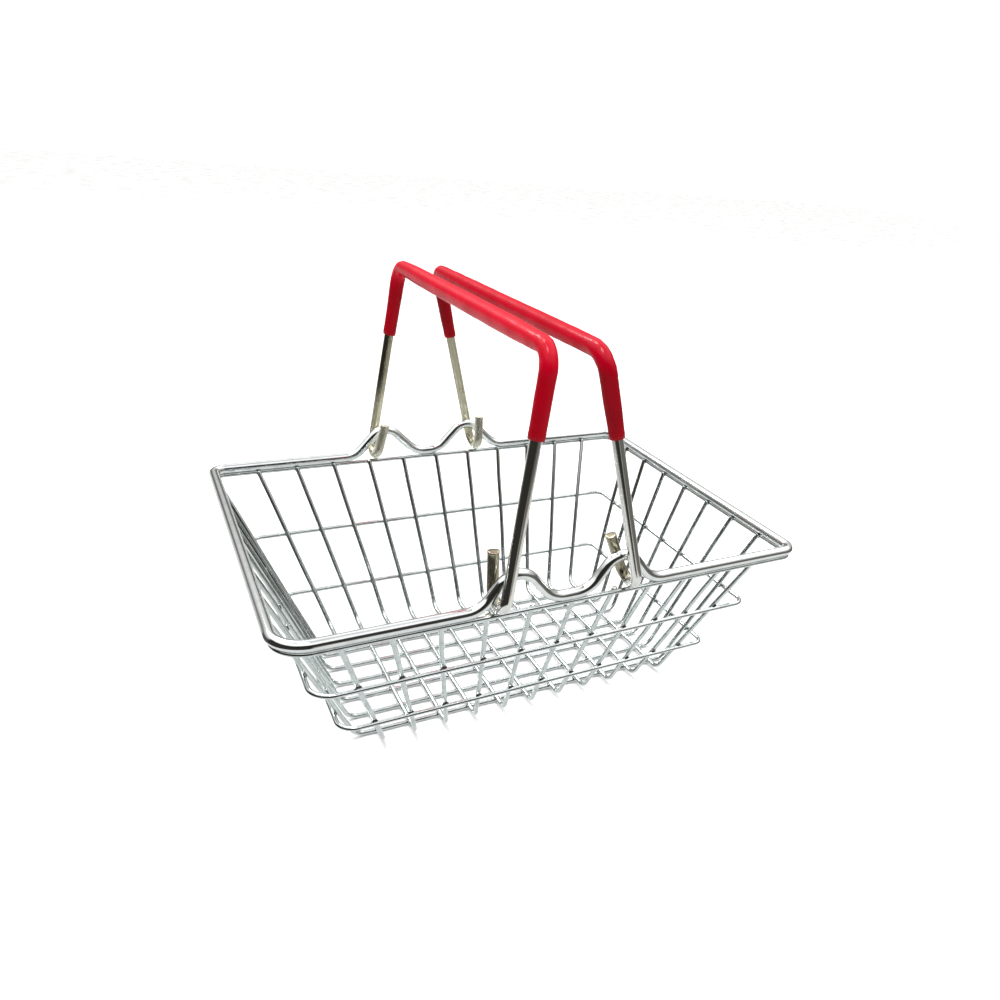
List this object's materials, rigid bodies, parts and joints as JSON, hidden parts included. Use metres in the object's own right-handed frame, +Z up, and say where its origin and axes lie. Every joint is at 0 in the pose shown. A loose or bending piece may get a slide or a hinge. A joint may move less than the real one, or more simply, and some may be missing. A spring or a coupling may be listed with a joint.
{
  "type": "shopping basket",
  "caption": "Small chrome wire shopping basket with flared mesh sides, a heavy rim and swing-out wire handles in red plastic sleeves.",
  "frame": {"origin": "middle of the footprint, on the surface the basket stands on", "axes": "+X along the long side, +Y across to the far long side, +Z up"},
  "size_m": [0.1498, 0.125, 0.1191],
  "materials": {
    "chrome_wire": "bright chrome plate over drawn steel wire",
    "handle_wire": "bright nickel-chrome plate, a little warmer than the mesh",
    "grip_pvc": "glossy red PVC sleeve"
  },
  "bodies": {
    "basket": {"rim_wire": "chrome_wire", "under_rim_wire": "chrome_wire", "upper_hoop": "chrome_wire", "lower_hoop": "chrome_wire", "cross_wire_01": "chrome_wire", "cross_wire_02": "chrome_wire", "cross_wire_03": "chrome_wire", "cross_wire_04": "chrome_wire", "cross_wire_05": "chrome_wire", "cross_wire_06": "chrome_wire", "cross_wire_07": "chrome_wire", "cross_wire_08": "chrome_wire", "cross_wire_09": "chrome_wire", "cross_wire_10": "chrome_wire", "cross_wire_11": "chrome_wire", "long_wire_01": "chrome_wire", "long_wire_02": "chrome_wire", "long_wire_03": "chrome_wire", "long_wire_04": "chrome_wire", "long_wire_05": "chrome_wire", "long_wire_06": "chrome_wire", "long_wire_07": "chrome_wire"},
    "left_handle": {"left_handle_wire": "handle_wire", "left_grip_sleeve": "grip_pvc"},
    "right_handle": {"right_handle_wire": "handle_wire", "right_grip_sleeve": "grip_pvc"}
  },
  "joints": [
    {"name": "left_handle_fold", "type": "hinge", "parent": "basket", "child": "left_handle", "pos_m": [-0.0219, 0, 0.05387], "axis": [0, -1, 0], "range_deg": [0, 94]},
    {"name": "right_handle_fold", "type": "hinge", "parent": "basket", "child": "right_handle", "pos_m": [0.01555, 0, 0.05387], "axis": [-0.007, 1, 0], "range_deg": [0, 95]}
  ]
}
